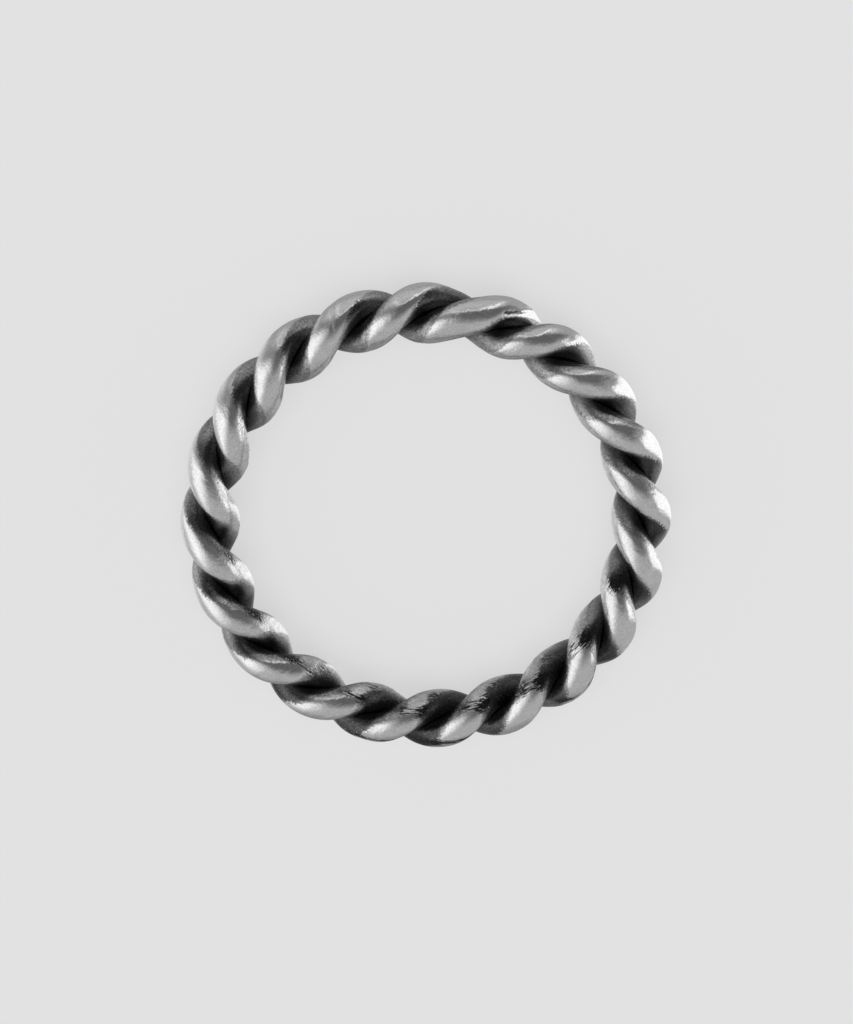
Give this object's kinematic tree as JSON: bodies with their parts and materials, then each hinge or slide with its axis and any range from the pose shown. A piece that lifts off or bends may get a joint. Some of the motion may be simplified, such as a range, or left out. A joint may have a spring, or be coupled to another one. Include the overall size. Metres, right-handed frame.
{
  "type": "twisted wire finger ring",
  "caption": "Finger ring of round silver wire twisted into a rope, bent round and closed, with a dark oxidised finish in the grooves.",
  "frame": {"origin": "on the ring's axis, at the level of its lowest points, which rest on the floor", "axes": "+Z along the ring's axis, with the ring lying on its side; +Y towards the side where the ends of the wires meet, 10 degrees short of that joint; +X to its right seen from above"},
  "size_m": [0.0252, 0.0252, 0.0031],
  "materials": {
    "oxidised_silver": "satin sterling silver, worn bright on the crowns and oxidised near black in the grooves"
  },
  "bodies": {
    "root": {"strand_a": "oxidised_silver", "strand_b": "oxidised_silver"}
  },
  "joints": []
}
